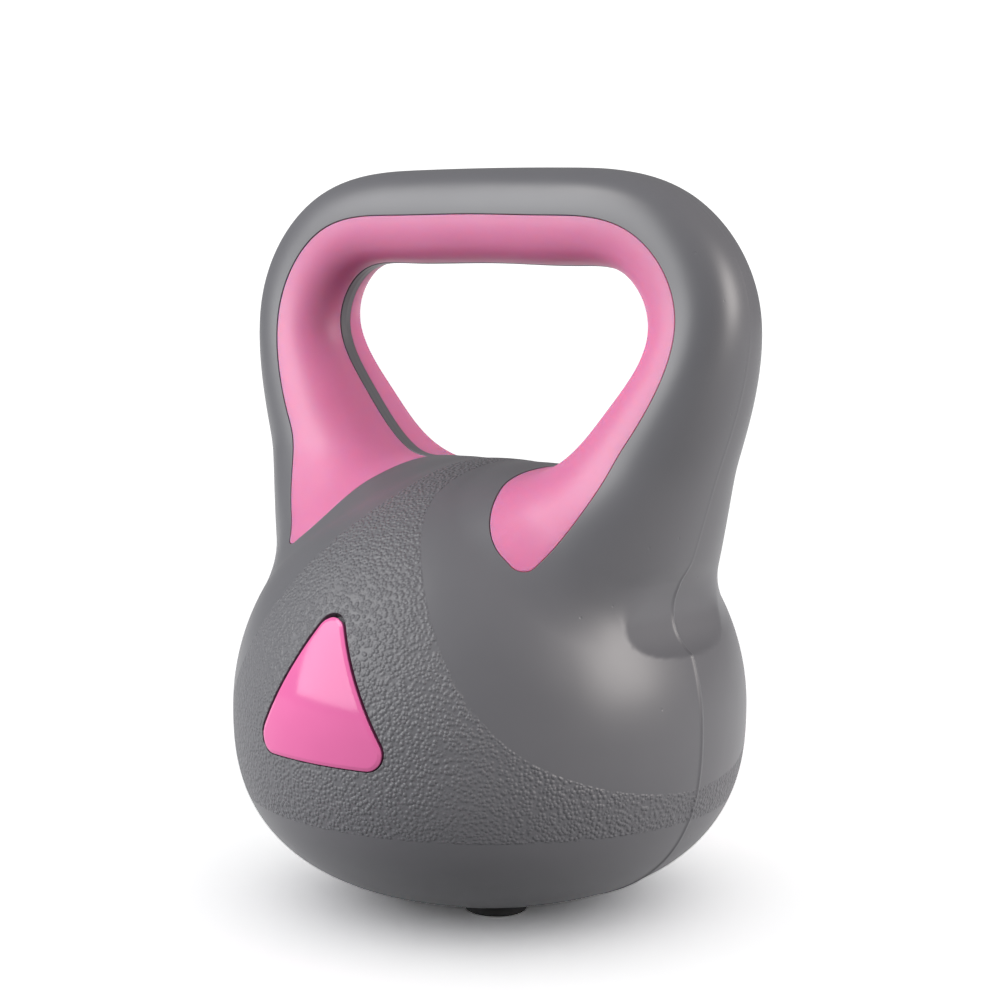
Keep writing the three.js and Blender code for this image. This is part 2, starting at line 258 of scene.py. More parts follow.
def section_terms(points):
    """Place in the handle's section: across (1 at the window side, -1 outside) and forward (y over half
    depth) with their gradients, the half width, the rib, and how far past the root."""
    side = np.where(points[:, 0] < 0, -1.0, 1.0)
    flat = columns([points[:, 0] * side, points[:, 2]])
    rib = RIB_OF(flat)
    value, slope = RIB_LINE(rib)
    inner, half_depth = value[:, 2:4], value[:, 4]
    away = flat - inner
    line = value[:, :2] - inner
    turn = slope[:, :2] - slope[:, 2:4]
    square = dot(line, line)
    share = dot(away, line) / square
    rate = cross(away, turn) - cross(slope[:, 2:4], line)
    rate = np.where(np.abs(rate) < 1e-3, 1e-3, rate)
    held = rib >= RIB_LINE.last
    rib_slope = np.where(held[:, None], 0, columns([-line[:, 1], line[:, 0]]) / rate[:, None])
    share_rate = (dot(away, turn) - dot(slope[:, 2:4], line) - 2 * share * dot(line, turn)) / square
    share_slope = line / square[:, None] + share_rate[:, None] * rib_slope
    forward = points[:, 1] / half_depth
    forward_slope = (-forward * slope[:, 4] / half_depth)[:, None] * rib_slope
    zero = np.zeros(len(points))
    across_gradient = -2 * columns([share_slope[:, 0] * side, zero, share_slope[:, 1]])
    forward_gradient = columns([forward_slope[:, 0] * side, 1 / half_depth, forward_slope[:, 1]])
    past_root = np.where(held, cross(away, line) / np.sqrt(square), 0)
    return {
        "across": 1 - 2 * share,
        "forward": forward,
        "half_width": np.sqrt(square) / 2,
        "rib": rib,
        "across_gradient": across_gradient,
        "forward_gradient": forward_gradient,
        "past_root": past_root,
    }


def as_distance(value, gradient):
    """Turns an implicit value and its gradient into a distance and a unit direction."""
    length = np.maximum(np.linalg.norm(gradient, axis=1), 1e-6)
    return value / length, gradient / length[:, None]


def handle_distance(points):
    terms = section_terms(points)
    a, b = np.abs(terms["across"]), np.abs(terms["forward"])
    norm = np.maximum((a**SECTION_POWER + b**SECTION_POWER) ** (1 / SECTION_POWER), 1e-3)
    scale = norm ** (1 - SECTION_POWER)
    by_across = scale * a ** (SECTION_POWER - 1) * np.sign(terms["across"])
    by_forward = scale * b ** (SECTION_POWER - 1) * np.sign(terms["forward"])
    gradient = by_across[:, None] * terms["across_gradient"] + by_forward[:, None] * terms["forward_gradient"]
    distance, direction = as_distance(norm - 1, gradient)
    return np.maximum(distance, terms["past_root"] - ROOT_CAP), direction


def ball_distance(points):
    x, y, z = points[:, 0], points[:, 1] / BALL_DEPTH_RATIO, points[:, 2] - EQUATOR_Z
    radius = np.maximum(np.hypot(x, y), 1e-6)
    above = z > 0
    power = np.where(above, TOP_POWER, BASE_POWER)
    height = np.where(above, BALL_RISE, BALL_DROP)
    a, b = radius / BALL_RADIUS, np.abs(z) / height
    norm = np.maximum((a**power + b**power) ** (1 / power), 1e-3)
    scale = norm ** (1 - power)
    by_radius = scale * a ** (power - 1) / BALL_RADIUS
    by_height = scale * b ** (power - 1) / height * np.sign(z)
    gradient = columns([by_radius * x / radius, by_radius * y / radius / BALL_DEPTH_RATIO, by_height])
    return as_distance(norm - 1, gradient)


def blend_union(first, second, reach):
    """Joins two (distance, direction) pairs with a soft inside corner."""
    share = np.clip(0.5 + 0.5 * (second[0] - first[0]) / reach, 0, 1)
    distance = first[0] * share + second[0] * (1 - share) - reach * share * (1 - share)
    return distance, first[1] * share[:, None] + second[1] * (1 - share)[:, None]


def scallop_distance(points):
    side = np.where(points[:, 0] < 0, -1.0, 1.0)
    x = points[:, 0] * side - SCALLOP_X
    z = points[:, 2] - SCALLOP_Z
    radius = np.maximum(np.hypot(x, z), 1e-6)
    direction = columns([side * x / radius, np.zeros(len(points)), z / radius])
    return radius - SCALLOP_RADIUS, direction


def body_distance(points):
    body = blend_union(ball_distance(points), handle_distance(points), ROOT_BLEND)
    hollow = scallop_distance(points)
    edge = np.interp(points[:, 2], SCALLOP_RIM_Z, (SCALLOP_EDGE, SCALLOP_TOP_EDGE))
    cut = blend_union((-body[0], -body[1]), hollow, edge)
    return -cut[0], -cut[1]


def onto_body(points, rounds=3):
    for _ in range(rounds):
        distance, direction = body_distance(points)
        square = np.maximum(dot(direction, direction), 0.2)
        points = points - direction * (distance / square)[:, None]
    return points


def gradient_of(level, points, reach):
    """A level's slope along each axis, from its values within reach on both sides."""
    steps = np.eye(3) * reach
    return columns([level(points + step) - level(points - step) for step in steps]) / (2 * reach)


def body_normals(points, reach=0.05):
    gradient = gradient_of(lambda places: body_distance(places)[0], points, reach)
    return gradient / np.linalg.norm(gradient, axis=1)[:, None]


# ---- from shape to mesh
def sample_body():
    """Distances on a grid: coarse everywhere, fine near the surface."""
    low = np.array(SAMPLE_LOW)
    count = np.ceil((np.array(SAMPLE_HIGH) - low) / (CELL * BLOCK)).astype(int) + 1
    low[:2] = -(count[:2] - 1) * CELL * BLOCK / 2
    nodes = np.indices(count).reshape(3, -1).T
    values = body_distance(low + nodes * CELL * BLOCK)[0].reshape(count)
    for axis in range(3):
        values = np.repeat(values, BLOCK, axis=axis)
    near = np.argwhere(np.abs(values) < NEAR_BLOCKS * CELL * BLOCK)
    values[tuple(near.T)] = body_distance(low + near * CELL)[0]
    return values, low


def surface_quads(values, low):
    """One vertex in each cell that the surface crosses, one quad round each grid edge that it crosses."""
    inside = values < 0
    total = np.zeros([length - 1 for length in values.shape] + [4])
    rings = []
    for axis in range(3):
        near = tuple(slice(None, -1) if i == axis else slice(None) for i in range(3))
        far = tuple(slice(1, None) if i == axis else slice(None) for i in range(3))
        start = np.argwhere(inside[near] != inside[far])
        end = start.copy()
        end[:, axis] += 1
        a, b = values[tuple(start.T)], values[tuple(end.T)]
        point = start.astype(float)
        point[:, axis] += a / (a - b)
        row = columns([point, np.ones(len(point))])
        corners = []
        for first, second in ((0, 0), (1, 0), (1, 1), (0, 1)):
            cell = start.copy()
            cell[:, (axis + 1) % 3] -= first
            cell[:, (axis + 2) % 3] -= second
            np.add.at(total, tuple(cell.T), row)
            corners.append(cell)
        ring = np.stack(corners, axis=1)
        ring[a > 0] = ring[a > 0][:, ::-1]
        rings.append(ring)
    used = total[..., 3] > 0
    number = np.full(used.shape, -1)
    number[used] = np.arange(used.sum())
    points = low + total[used][:, :3] / total[used][:, 3:] * CELL
    ring = np.concatenate(rings)
    return points, number[ring[..., 0], ring[..., 1], ring[..., 2]]


def relaxed(points, quads, rounds=6, share=0.6):
    """Evens the vertices out along the surface: each moves a share of the way to its neighbours' middle."""
    start = quads.ravel()
    end = np.roll(quads, -1, axis=1).ravel()
    one, two = np.concatenate([start, end]), np.concatenate([end, start])
    count = np.bincount(one, minlength=len(points))[:, None]
    for _ in range(rounds):
        sums = [np.bincount(one, points[two, axis], len(points)) for axis in range(3)]
        middle = columns(sums) / count
        points = onto_body(points + share * (middle - points), 1)
    return onto_body(points)


def halved(points, quads):
    """Triangles, each quad cut along its shorter diagonal."""
    one = np.linalg.norm(points[quads[:, 0]] - points[quads[:, 2]], axis=1)
    two = np.linalg.norm(points[quads[:, 1]] - points[quads[:, 3]], axis=1)
    turned = np.where((one < two)[:, None], quads, np.roll(quads, -1, axis=1))
    return np.concatenate([turned[:, [0, 1, 2]], turned[:, [0, 2, 3]]])


def face_edges(faces):
    """Every face's edges, in its own direction."""
    return np.concatenate([faces[:, [0, 1]], faces[:, [1, 2]], faces[:, [2, 0]]])


def unique_edges(faces):
    return np.unique(np.sort(face_edges(faces), axis=1), axis=0)


def middle_finder(edges, count):
    """Gives the number of the point made on the edge between two points, or -1 where none was made."""
    key = edges[:, 0] * count + edges[:, 1]

    def middle(first, second):
        wanted = np.minimum(first, second) * count + np.maximum(first, second)
        place = np.minimum(np.searchsorted(key, wanted), len(key) - 1)
        return np.where(key[place] == wanted, count + place, -1)

    return middle


def onto_line(points, level, rounds=3, reach=0.02, longest=0.5):
    """Moves surface points to where level is zero, in steps of limited length, keeping them on the body."""
    for _ in range(rounds):
        value = level(points)
        gradient = gradient_of(level, points, reach)
        normal = body_distance(points)[1]
        gradient -= dot(gradient, normal)[:, None] * normal
        square = np.maximum(dot(gradient, gradient), 0.1)
        step = gradient * (value / square)[:, None]
        size = np.linalg.norm(step, axis=1)[:, None]
        points = onto_body(points - step * np.minimum(1, longest / np.maximum(size, 1e-9)), 1)
    return points


class Skin:
    """The body's surface as points and triangles, cut along the lines drawn on it."""

    def __init__(self):
        values, low = sample_body()
        points, quads = surface_quads(values, low)
        self.points = relaxed(points, quads)
        self.faces = halved(self.points, quads)
        self.held = np.zeros(len(points), bool)

    def refine(self, level, reach):
        """Splits the edges that are within reach of the line where level is zero, and so their triangles."""
        points, faces = self.points, self.faces
        edges = unique_edges(faces)
        edges = edges[np.abs(level(points[edges].mean(1))) < reach]
        middles = points[edges].mean(1)
        middle = middle_finder(edges, len(points))
        made = columns([middle(faces[:, i], faces[:, (i + 1) % 3]) for i in range(3)])
        number = (made >= 0).sum(1)
        pieces = [faces[number == 0]]
        three = number == 3
        (a, b, c), (ab, bc, ca) = faces[three].T, made[three].T
        quarters = (a, ab, ca), (b, bc, ab), (c, ca, bc), (ab, bc, ca)
        pieces += [columns(corners) for corners in quarters]
        for wanted in (1, 2):
            chosen = number == wanted
            turn = (made[chosen] >= 0) if wanted == 1 else np.roll(made[chosen] < 0, 1, axis=1)
            a, b, c = turned_first(faces[chosen], turn).T
            ab, bc, _ = turned_first(made[chosen], turn).T
            if wanted == 1:
                pieces += [columns([a, ab, c]), columns([ab, b, c])]
            else:
                pieces += [columns(corners) for corners in ((b, bc, ab), (a, ab, bc), (a, bc, c))]
        self.faces = np.concatenate(pieces)
        self.points = np.vstack([points, onto_body(middles, 2)])
        self.held = np.concatenate([self.held, np.zeros(len(middles), bool)])

    def cut(self, level, snap=0.3):
        """Cuts the triangles where level is zero. Corners close to that line move onto it, so no thin
        slivers are left, unless they are on an earlier line."""
        points, faces = self.points, self.faces
        value = level(points)
        value[np.abs(value) < 1e-4] = 0
        edges = unique_edges(faces)
        edges = edges[value[edges].prod(1) < 0]
        a, b = value[edges].T
        part = a / (a - b)
        moved = np.unique(np.concatenate([edges[part < snap, 0], edges[part > 1 - snap, 1]]))
        moved = moved[~self.held[moved]]
        points[moved] = onto_line(points[moved], level)
        value[moved] = 0
        edges = edges[value[edges].prod(1) < 0]
        a, b = value[edges].T
        part = (a / (a - b))[:, None]
        fresh = onto_line(points[edges[:, 0]] * (1 - part) + points[edges[:, 1]] * part, level)
        middle = middle_finder(edges, len(points))
        sign = np.sign(value).astype(int)
        corner = sign[faces]
        mixed = (corner.max(1) > 0) & (corner.min(1) < 0)
        pieces = [faces[~mixed]]
        faces, corner = faces[mixed], corner[mixed]
        through = (corner == 0).any(1)
        a, b, c = turned_first(faces[through], corner[through] == 0).T
        m = middle(b, c)
        pieces += [columns([a, b, m]), columns([a, m, c])]
        corner = corner[~through]
        a, b, c = turned_first(faces[~through], corner == -corner.sum(1)[:, None]).T
        m, n = middle(a, b), middle(a, c)
        pieces += [columns([a, m, n]), columns([m, b, c]), columns([m, c, n])]
        self.faces = np.concatenate(pieces)
        self.points = np.vstack([points, fresh])
        self.held = np.concatenate([self.held | (value == 0), np.ones(len(fresh), bool)])

    def inside(self, level):
        """Whether each face is on the side where level is above zero."""
        value = level(self.points)
        value[np.abs(value) < 1e-2] = 0
        total = value[self.faces].sum(1)
        unsure = total == 0
        total[unsure] = level(self.points[self.faces[unsure]].mean(1))
        return total > 0


def turned_first(faces, wanted):
    """Each face's corners, starting from the wanted one."""
    first = np.argmax(wanted, axis=1)[:, None]
    return np.take_along_axis(faces, (first + (0, 1, 2)) % 3, axis=1)


def border_edges(faces):
    """Edges that only one face has, in that face's direction."""
    pairs = face_edges(faces)
    _, place, count = np.unique(np.sort(pairs, axis=1), axis=0, return_index=True, return_counts=True)
    return pairs[place[count == 1]]


def round_lip(radius):
    """A rim's profile over a rounded edge: how far out, how far down, and which way it faces, in degrees."""
    angles = np.linspace(0, 90, LIP_STEPS + 1)[1:]
    return [(radius * math.sin(math.radians(a)), radius * (1 - math.cos(math.radians(a))), a) for a in angles]


def add_rim(points, normals, edges, into, profile, depth):
    """Carries a border over a profile and straight down to its depth along into, a direction for each
    point. Returns all the points and normals, the new faces, and for each point the one below it."""
    vertices = np.unique(edges)
    up = -into[vertices]
    along = points[edges[:, 1]] - points[edges[:, 0]]
    away = np.zeros_like(points)
    for i in range(2):
        np.add.at(away, edges[:, i], np.cross(along, -into[edges[:, i]]))
    away = away[vertices]
    away -= dot(away, up)[:, None] * up
    away /= np.linalg.norm(away, axis=1)[:, None]
    row = np.full(len(points), -1)
    row[vertices] = np.arange(len(vertices))
    origin, before = points[vertices], vertices
    all_points, all_normals, rim = [points], [normals], []
    rows = [(out, np.full(len(vertices), down), angle) for out, down, angle in profile]
    rows.append((profile[-1][0], depth[vertices], 90))
    for number, (out, down, angle) in enumerate(rows):
        facing = math.radians(angle)
        all_points.append(origin + away * out - up * down[:, None])
        all_normals.append(up * math.cos(facing) + away * math.sin(facing))
        now = len(points) + number * len(vertices) + np.arange(len(vertices))
        a, b = row[edges].T
        rim += [columns([before[b], before[a], now[a]]), columns([before[b], now[a], now[b]])]
        before = now
    below = np.arange(len(points))
    below[vertices] = before
    return np.vstack(all_points), np.vstack(all_normals), np.concatenate(rim), below


def plate(points, normals, faces, sink, profile, depth):
    """A closed piece under the given faces: its top a little lower, a shaped rim, and an underside."""
    used, faces = np.unique(faces, return_inverse=True)
    faces = faces.reshape(-1, 3)
    points, normals = points[used] - normals[used] * sink, normals[used]
    edges = border_edges(faces)
    inner = np.setdiff1d(faces, edges)
    depths = np.full(len(points), depth)
    all_points, all_normals, rim, below = add_rim(points, normals, edges, -normals, profile, depths)
    below[inner] = len(all_points) + np.arange(len(inner))
    all_points = np.vstack([all_points, points[inner] - normals[inner] * depth])
    all_normals = np.vstack([all_normals, -normals[inner]])
    return all_points, all_normals, np.concatenate([faces, rim, below[faces][:, ::-1]])


class Shell:
    """The shell as points, normals and triangles, with pockets sunk into it."""

    def __init__(self, points, normals, faces, pocket_of):
        self.points, self.normals, self.faces, self.pocket_of = points, normals, faces, pocket_of

    def sink(self, pocket, upward, lip, depth):
        """Lowers one pocket's faces, straight into the surface by a depth, or upward to the height depth."""
        inside = self.pocket_of == pocket
        kept, floor = self.faces[~inside], self.faces[inside]
        into = -self.normals if upward is None else np.tile(upward, (len(self.points), 1))
        depth = np.full(len(self.points), depth) if upward is None else depth - self.points[:, 2]
        edges = border_edges(kept)
        points, normals, rim, below = add_rim(self.points, self.normals, edges, into, round_lip(lip), depth)
        inner = np.setdiff1d(floor, edges)
        points[inner] += into[inner] * depth[inner, None]
        self.points, self.normals = points, normals
        self.faces = np.concatenate([kept, rim, below[floor]])
        self.pocket_of = np.concatenate(
            [self.pocket_of[~inside], np.full(len(rim), SKIN), np.full(len(floor), FLOOR)]
        )


# ---- lines drawn on the body
def eased(value):
    value = np.clip(value, 0, 1)
    return value * value * (3 - 2 * value)


def rounded_min(a, b, radius):
    """The smaller of two distances inside an outline, with its corner rounded."""
    past_corner = np.hypot(np.maximum(radius - a, 0), np.maximum(radius - b, 0))
    return np.maximum(np.minimum(a, b), radius) - past_corner


def inside_window(points):
    """How far towards the window a point is from the handle's foremost line, and its rib."""
    terms = section_terms(points)
    return terms["across"] * terms["half_width"], terms["rib"]


def over_leg(points):
    """Above zero on the leg and a little way onto the ball."""
    flare = eased((LOBE_FLARE_FROM - inside_window(points)[0]) / (LOBE_FLARE_FROM - LOBE_FLARE_TO))
    return LOBE_REACH + LOBE_FLARE * flare - handle_distance(points)[0]


def along_surface(level, reach=4.0, nudge=0.05):
    """The same level as a distance along the body's surface, near where it is zero."""

    def measured(points):
        value = level(points)
        near = np.abs(value) < reach
        close = points[near]
        slope = gradient_of(level, close, nudge)
        normal = body_distance(close)[1]
        slope -= dot(slope, normal)[:, None] * normal
        value[near] /= np.clip(np.linalg.norm(slope, axis=1), 0.2, 2)
        return value

    return measured


def inlay_level(points):
    """How far inside either inlay's outline a point is."""
    level = np.full(len(points), -LOBE_ROUNDING)
    high = points[:, 2] > INLAY_LOWEST_Z
    level[high] = high_inlay_level(points[high])
    return level


def high_inlay_level(points):
    towards_window, rib = inside_window(points)
    shift = EDGE_SHIFT * eased((rib - EDGE_SHIFT_START) / (EDGE_SHIFT_END - EDGE_SHIFT_START))
    from_edge = towards_window + EDGE_START + shift
    from_strip = np.abs(points[:, 1]) - STRIP_HALF_WIDTH
    lobe = rounded_min(from_edge, along_surface(over_leg)(points), LOBE_ROUNDING)
    return rounded_min(lobe, from_strip, STRIP_ROUNDING)


def way_from_side(flat, start, end):
    """From the nearest point of a straight side to each point: the way, and its length."""
    side = end - start
    share = np.clip((flat - start) @ side / (side @ side), 0, 1)
    way = flat - start - share[:, None] * side
    return way, np.linalg.norm(way, axis=1)


def badge_level(points):
    """How far inside either badge pocket's outline a point is, seen from the front or the back."""
    flat = points[:, [0, 2]]
    half, base = BADGE_HALF_WIDTH, BADGE_BASE_Z
    height = BADGE_APEX_Z - base
    in_radius = half * height / (half + math.hypot(half, height))
    centre = np.array([0, base + in_radius])
    corners = np.array([(-half, base), (half, base), (0, BADGE_APEX_Z)])
    corners = centre + (corners - centre) * (1 - BADGE_ROUNDING / in_radius)
    nearest = np.full(len(points), np.inf)
    deepest = np.full(len(points), np.inf)
    for start, end in zip(corners, np.roll(corners, -1, axis=0)):
        side = end - start
        nearest = np.minimum(nearest, way_from_side(flat, start, end)[1])
        deepest = np.minimum(deepest, cross(side / np.linalg.norm(side), flat - start))
    level = BADGE_ROUNDING + np.where(deepest > 0, deepest, -nearest)
    return np.where(np.abs(points[:, 1]) > BADGE_MIN_Y, level, -BADGE_ROUNDING)


def badge_plate_level(points):
    return badge_level(points + (0, 0, BADGE_DROP))


def circle_level(centre, radius):
    def level(points):
        inside = radius - np.hypot(points[:, 0] - centre[0], points[:, 1] - centre[1])
        return np.where(points[:, 2] < BASE_LIMIT_Z, inside, -radius)

    return level


def grain_level(points):
    """How far inside the grained field a point is, seen from the front or the back."""
    flat = columns([np.abs(points[:, 0]), points[:, 2]])
    line, _ = GRAIN_LINE(np.linspace(GRAIN_LINE.first, GRAIN_LINE.last, GRAIN_STEPS))
    nearest = np.full(len(points), np.inf)
    sign = np.zeros(len(points))
    for start, end in zip(line[:-1], line[1:]):
        away, distance = way_from_side(flat, start, end)
        closer = distance < nearest
        nearest[closer] = distance[closer]
        sign[closer] = np.sign(cross(away, end - start))[closer]
    from_base = flat[:, 1] - GRAIN_BASE_Z
    on_ball = handle_distance(points)[0] - GRAIN_FROM_HANDLE
    return np.minimum(np.minimum(nearest * sign, from_base), on_ball)


def shifted(level, amount):
    """The same outline, that much larger."""
    return lambda points: level(points) + amount


def raise_parting_line(points, normals):
    """Lifts the thin ridge that the mould's halves leave where they meet, on the plane y = 0."""
    y = points[:, 1]
    below_leg = eased((LINE_FADE_TOP - points[:, 2]) / (LINE_FADE_TOP - LINE_FADE_BOTTOM))
    height = LINE_FAINT + (LINE_HEIGHT - LINE_FAINT) * below_leg
    profile = np.exp(-((y / LINE_HALF_WIDTH) ** 2))
    slope = -2 * y / LINE_HALF_WIDTH**2 * profile * height
    sideways = np.array([0, 1.0, 0]) - normals * normals[:, 1:2]
    tilted = normals - sideways * slope[:, None]
    tilted /= np.linalg.norm(tilted, axis=1)[:, None]
    return points + normals * (profile * height)[:, None], tilted


# ---- Blender objects
def add_object(name, points, faces, material, normals=None):
    """A smooth mesh object from points in millimetres, and triangles."""
    mesh = bpy.data.meshes.new(name)
    mesh.vertices.add(len(points))
    mesh.vertices.foreach_set("co", (points * MM).astype(np.float32).ravel())
    mesh.loops.add(faces.size)
    mesh.loops.foreach_set("vertex_index", faces.astype(np.int32).ravel())
    mesh.polygons.add(len(faces))
    mesh.polygons.foreach_set("loop_start", np.arange(0, faces.size, 3, dtype=np.int32))
    mesh.polygons.foreach_set("use_smooth", np.ones(len(faces), bool))
    mesh.update(calc_edges=True)
    if normals is not None:
        mesh.normals_split_custom_set_from_vertices(normals.astype(np.float32))
    mesh.materials.append(material)
    made = bpy.data.objects.new(name, mesh)
    bpy.context.scene.collection.objects.link(made)
    return made


def lathe(profile, segments):
    """Points and triangles of a closed turned solid. The profile runs from the axis back to the axis."""
    rings = []
    angles = np.arange(segments) * 2 * math.pi / segments
    for radius, height in profile[1:-1]:
        x, y = radius * np.cos(angles), radius * np.sin(angles)
        rings.append(columns([x, y, np.full(segments, height)]))
    points = np.vstack([[[0, 0, profile[0][1]]], *rings, [[0, 0, profile[-1][1]]]])
    here = np.arange(segments)
    after = (here + 1) % segments
    last = len(points) - 1
    faces = [columns([np.zeros(segments, int), after + 1, here + 1])]
    for row in range(len(rings) - 1):
        a, b = 1 + row * segments + here, 1 + row * segments + after
        faces += [columns([a, b, b + segments]), columns([a, b + segments, a + segments])]
    a, b = last - segments + here, last - segments + after
    faces.append(columns([a, b, np.full(segments, last)]))
    return points, np.concatenate(faces)


def add_turned(name, profile, centre, material):
    """A turned piece standing at centre (x, y), with sharp edges where its profile turns sharply."""
    points, faces = lathe(profile, TURNED_SEGMENTS)
    points[:, :2] += centre
    made = add_object(name, points, faces, material)
    made.data.set_sharp_from_angle(angle=CREASE)
    return made


def arc(centre, radius, start, end, steps=5):
    """Points of a profile's round stretch, from the start angle to the end angle in degrees."""
    return [
        (centre[0] + radius * math.cos(angle), centre[1] + radius * math.sin(angle))
        for angle in np.radians(np.linspace(start, end, steps))
    ]


# ---- materials
class Paint:
    """A material and its main shader, with short calls for the nodes that drive it."""

    def __init__(self, name, **settings):
        self.material = bpy.data.materials.new(name)
        self.material.use_nodes = True
        self.nodes = self.material.node_tree.nodes
        self.links = self.material.node_tree.links
        self.shader = self.nodes["Principled BSDF"]
        self.where = self.nodes.new("ShaderNodeTexCoord").outputs["Object"]
        for key, value in settings.items():
            self.put(self.shader, key.replace("_", " "), value)

    def put(self, node, socket, value):
        """Sets a socket to a number or colour, or links it to another socket."""
        socket = node.inputs[socket]
        if isinstance(value, bpy.types.NodeSocket):
            self.links.new(value, socket)
        else:
            socket.default_value = value

    def noise(self, scale, detail, roughness=0.5):
        node = self.nodes.new("ShaderNodeTexNoise")
        self.put(node, "Vector", self.where)
        self.put(node, "Scale", scale)
        self.put(node, "Detail", detail)
        self.put(node, "Roughness", roughness)
        return node.outputs["Fac"]

    def cells(self, scale, feature="F1", **settings):
        node = self.nodes.new("ShaderNodeTexVoronoi")
        node.feature = feature
        self.put(node, "Vector", self.where)
        self.put(node, "Scale", scale)
        for key, value in settings.items():
            self.put(node, key, value)
        return node.outputs["Distance"]

    def range(self, value, low, high, to_low=0.0, to_high=1.0, smooth=False):
        node = self.nodes.new("ShaderNodeMapRange")
        node.interpolation_type = "SMOOTHSTEP" if smooth else "LINEAR"
        self.put(node, "Value", value)
        for key, number in zip(("From Min", "From Max", "To Min", "To Max"), (low, high, to_low, to_high)):
            self.put(node, key, number)
        return node.outputs["Result"]

    def math(self, operation, a, b):
        node = self.nodes.new("ShaderNodeMath")
        node.operation = operation
        self.put(node, 0, a)
        self.put(node, 1, b)
        return node.outputs[0]

    def mix(self, share, a, b):
        """Between two colours."""
        node = self.nodes.new("ShaderNodeMix")
        node.data_type = "RGBA"
        self.put(node, 0, share)
        self.put(node, 6, (*a, 1))
        self.put(node, 7, (*b, 1))
        return node.outputs[2]

    def attribute(self, name):
        node = self.nodes.new("ShaderNodeAttribute")
        node.attribute_name = name
        return node.outputs["Fac"]

    def bump(self, height, distance, normal=None):
        """A bump of the given height, whose distance is in millimetres."""
        node = self.nodes.new("ShaderNodeBump")
        self.put(node, "Height", height)
        self.put(node, "Distance", distance * MM)
        if normal:
            self.put(node, "Normal", normal)
        return node.outputs["Normal"]

    def finish(self, share, colours, roughness, normal):
        """The material, with a colour and a roughness that vary with a share, and a normal."""
        self.put(self.shader, "Base Color", self.mix(share, *colours))
        self.put(self.shader, "Roughness", self.range(share, 0.3, 0.7, *roughness))
        self.put(self.shader, "Normal", normal)
        return self.material


def per_mm(count):
    """A texture scale, from repeats to the millimetre."""
    return count / MM


def grain_height(paint):
    """Pebbled grain: round bumps a little over a millimetre from one to the next."""
    pebbles = paint.cells(per_mm(0.82), "SMOOTH_F1", Smoothness=0.35)
    return paint.range(pebbles, 0.1, 0.75, 1, 0, smooth=True)


def shell_material():
    paint = Paint("shell_grey_plastic")
    mottle = paint.noise(per_mm(0.03), detail=3)
    in_grain = paint.range(paint.attribute(GRAIN_NAME), -0.3, 0.5, smooth=True)
    grain = paint.math("MULTIPLY", grain_height(paint), in_grain)
    satin = paint.noise(per_mm(1.6), detail=2)
    flow = paint.noise(per_mm(0.05), detail=1)
    pits = paint.range(paint.cells(per_mm(0.09)), 0.02, 0.05)
    normal = paint.bump(flow, 0.15)
    normal = paint.bump(satin, 0.006, normal)
    normal = paint.bump(pits, 0.06, normal)
    normal = paint.bump(grain, 0.34, normal)
    paint.put(paint.shader, "Normal", normal)
    paint.put(paint.shader, "Base Color", paint.mix(mottle, (0.098, 0.099, 0.109), (0.11, 0.11, 0.121)))
    rough = paint.range(mottle, 0.3, 0.7, 0.38, 0.43)
    paint.put(paint.shader, "Roughness", paint.math("ADD", rough, paint.math("MULTIPLY", in_grain, 0.08)))
    return paint.material


def inlay_material():
    paint = Paint("inlay_pink_plastic", Specular_IOR_Level=0.55, Subsurface_Weight=0.7)
    paint.put(paint.shader, "Subsurface Scale", 0.007)
    cloud = paint.noise(per_mm(0.04), detail=3)
    normal = paint.bump(paint.noise(per_mm(1.2), detail=2), 0.012, paint.bump(cloud, 0.2))
    colours = (0.558, 0.15, 0.298), (0.608, 0.168, 0.328)
    return paint.finish(cloud, colours, (0.42, 0.5), normal)


def badge_material():
    paint = Paint("badge_gloss_pink", Roughness=0.12, Specular_IOR_Level=0.22)
    cloud = paint.noise(per_mm(0.05), detail=2)
    paint.put(paint.shader, "Base Color", paint.mix(cloud, (0.65, 0.125, 0.325), (0.7, 0.145, 0.36)))
    paint.put(paint.shader, "Normal", paint.bump(paint.noise(per_mm(0.07), detail=1), 0.12))
    return paint.material


def rubber_material():
    paint = Paint("foot_black_rubber")
    dust = paint.noise(per_mm(0.25), detail=4, roughness=0.6)
    normal = paint.bump(paint.noise(per_mm(2.5), detail=3), 0.03)
    return paint.finish(dust, ((0.012, 0.012, 0.013), (0.03, 0.03, 0.032)), (0.62, 0.8), normal)


def plug_material():
    paint = Paint("plug_grey_plastic")
    mottle = paint.noise(per_mm(0.1), detail=3)
    normal = paint.bump(paint.noise(per_mm(1.4), detail=2), 0.01)
    return paint.finish(mottle, ((0.1, 0.1, 0.107), (0.125, 0.123, 0.132)), (0.35, 0.45), normal)


def mortar_material():
    paint = Paint("fill_mortar")
    cloud = paint.noise(per_mm(0.08), detail=5, roughness=0.6)
    normal = paint.bump(paint.cells(per_mm(0.9)), 0.25, paint.bump(cloud, 0.6))
    return paint.finish(cloud, ((0.21, 0.19, 0.165), (0.36, 0.34, 0.31)), (0.88, 0.98), normal)


def tape_material():
    paint = Paint("badge_white_foam_tape")
    cloud = paint.noise(per_mm(0.3), detail=2)
    normal = paint.bump(paint.cells(per_mm(2.2)), 0.08)
    return paint.finish(cloud, ((0.74, 0.73, 0.69), (0.82, 0.81, 0.78)), (0.7, 0.85), normal)


# ---- the kettlebell's pieces
GRAIN_NAME = "grain_field"
GRAIN_LINE = Spline(np.array(GRAIN_LINE_POINTS), 0)


def box_mm(node):
    """A CAD node's lowest and highest corner."""
    low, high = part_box(node)
    return np.array(low) / MM, np.array(high) / MM


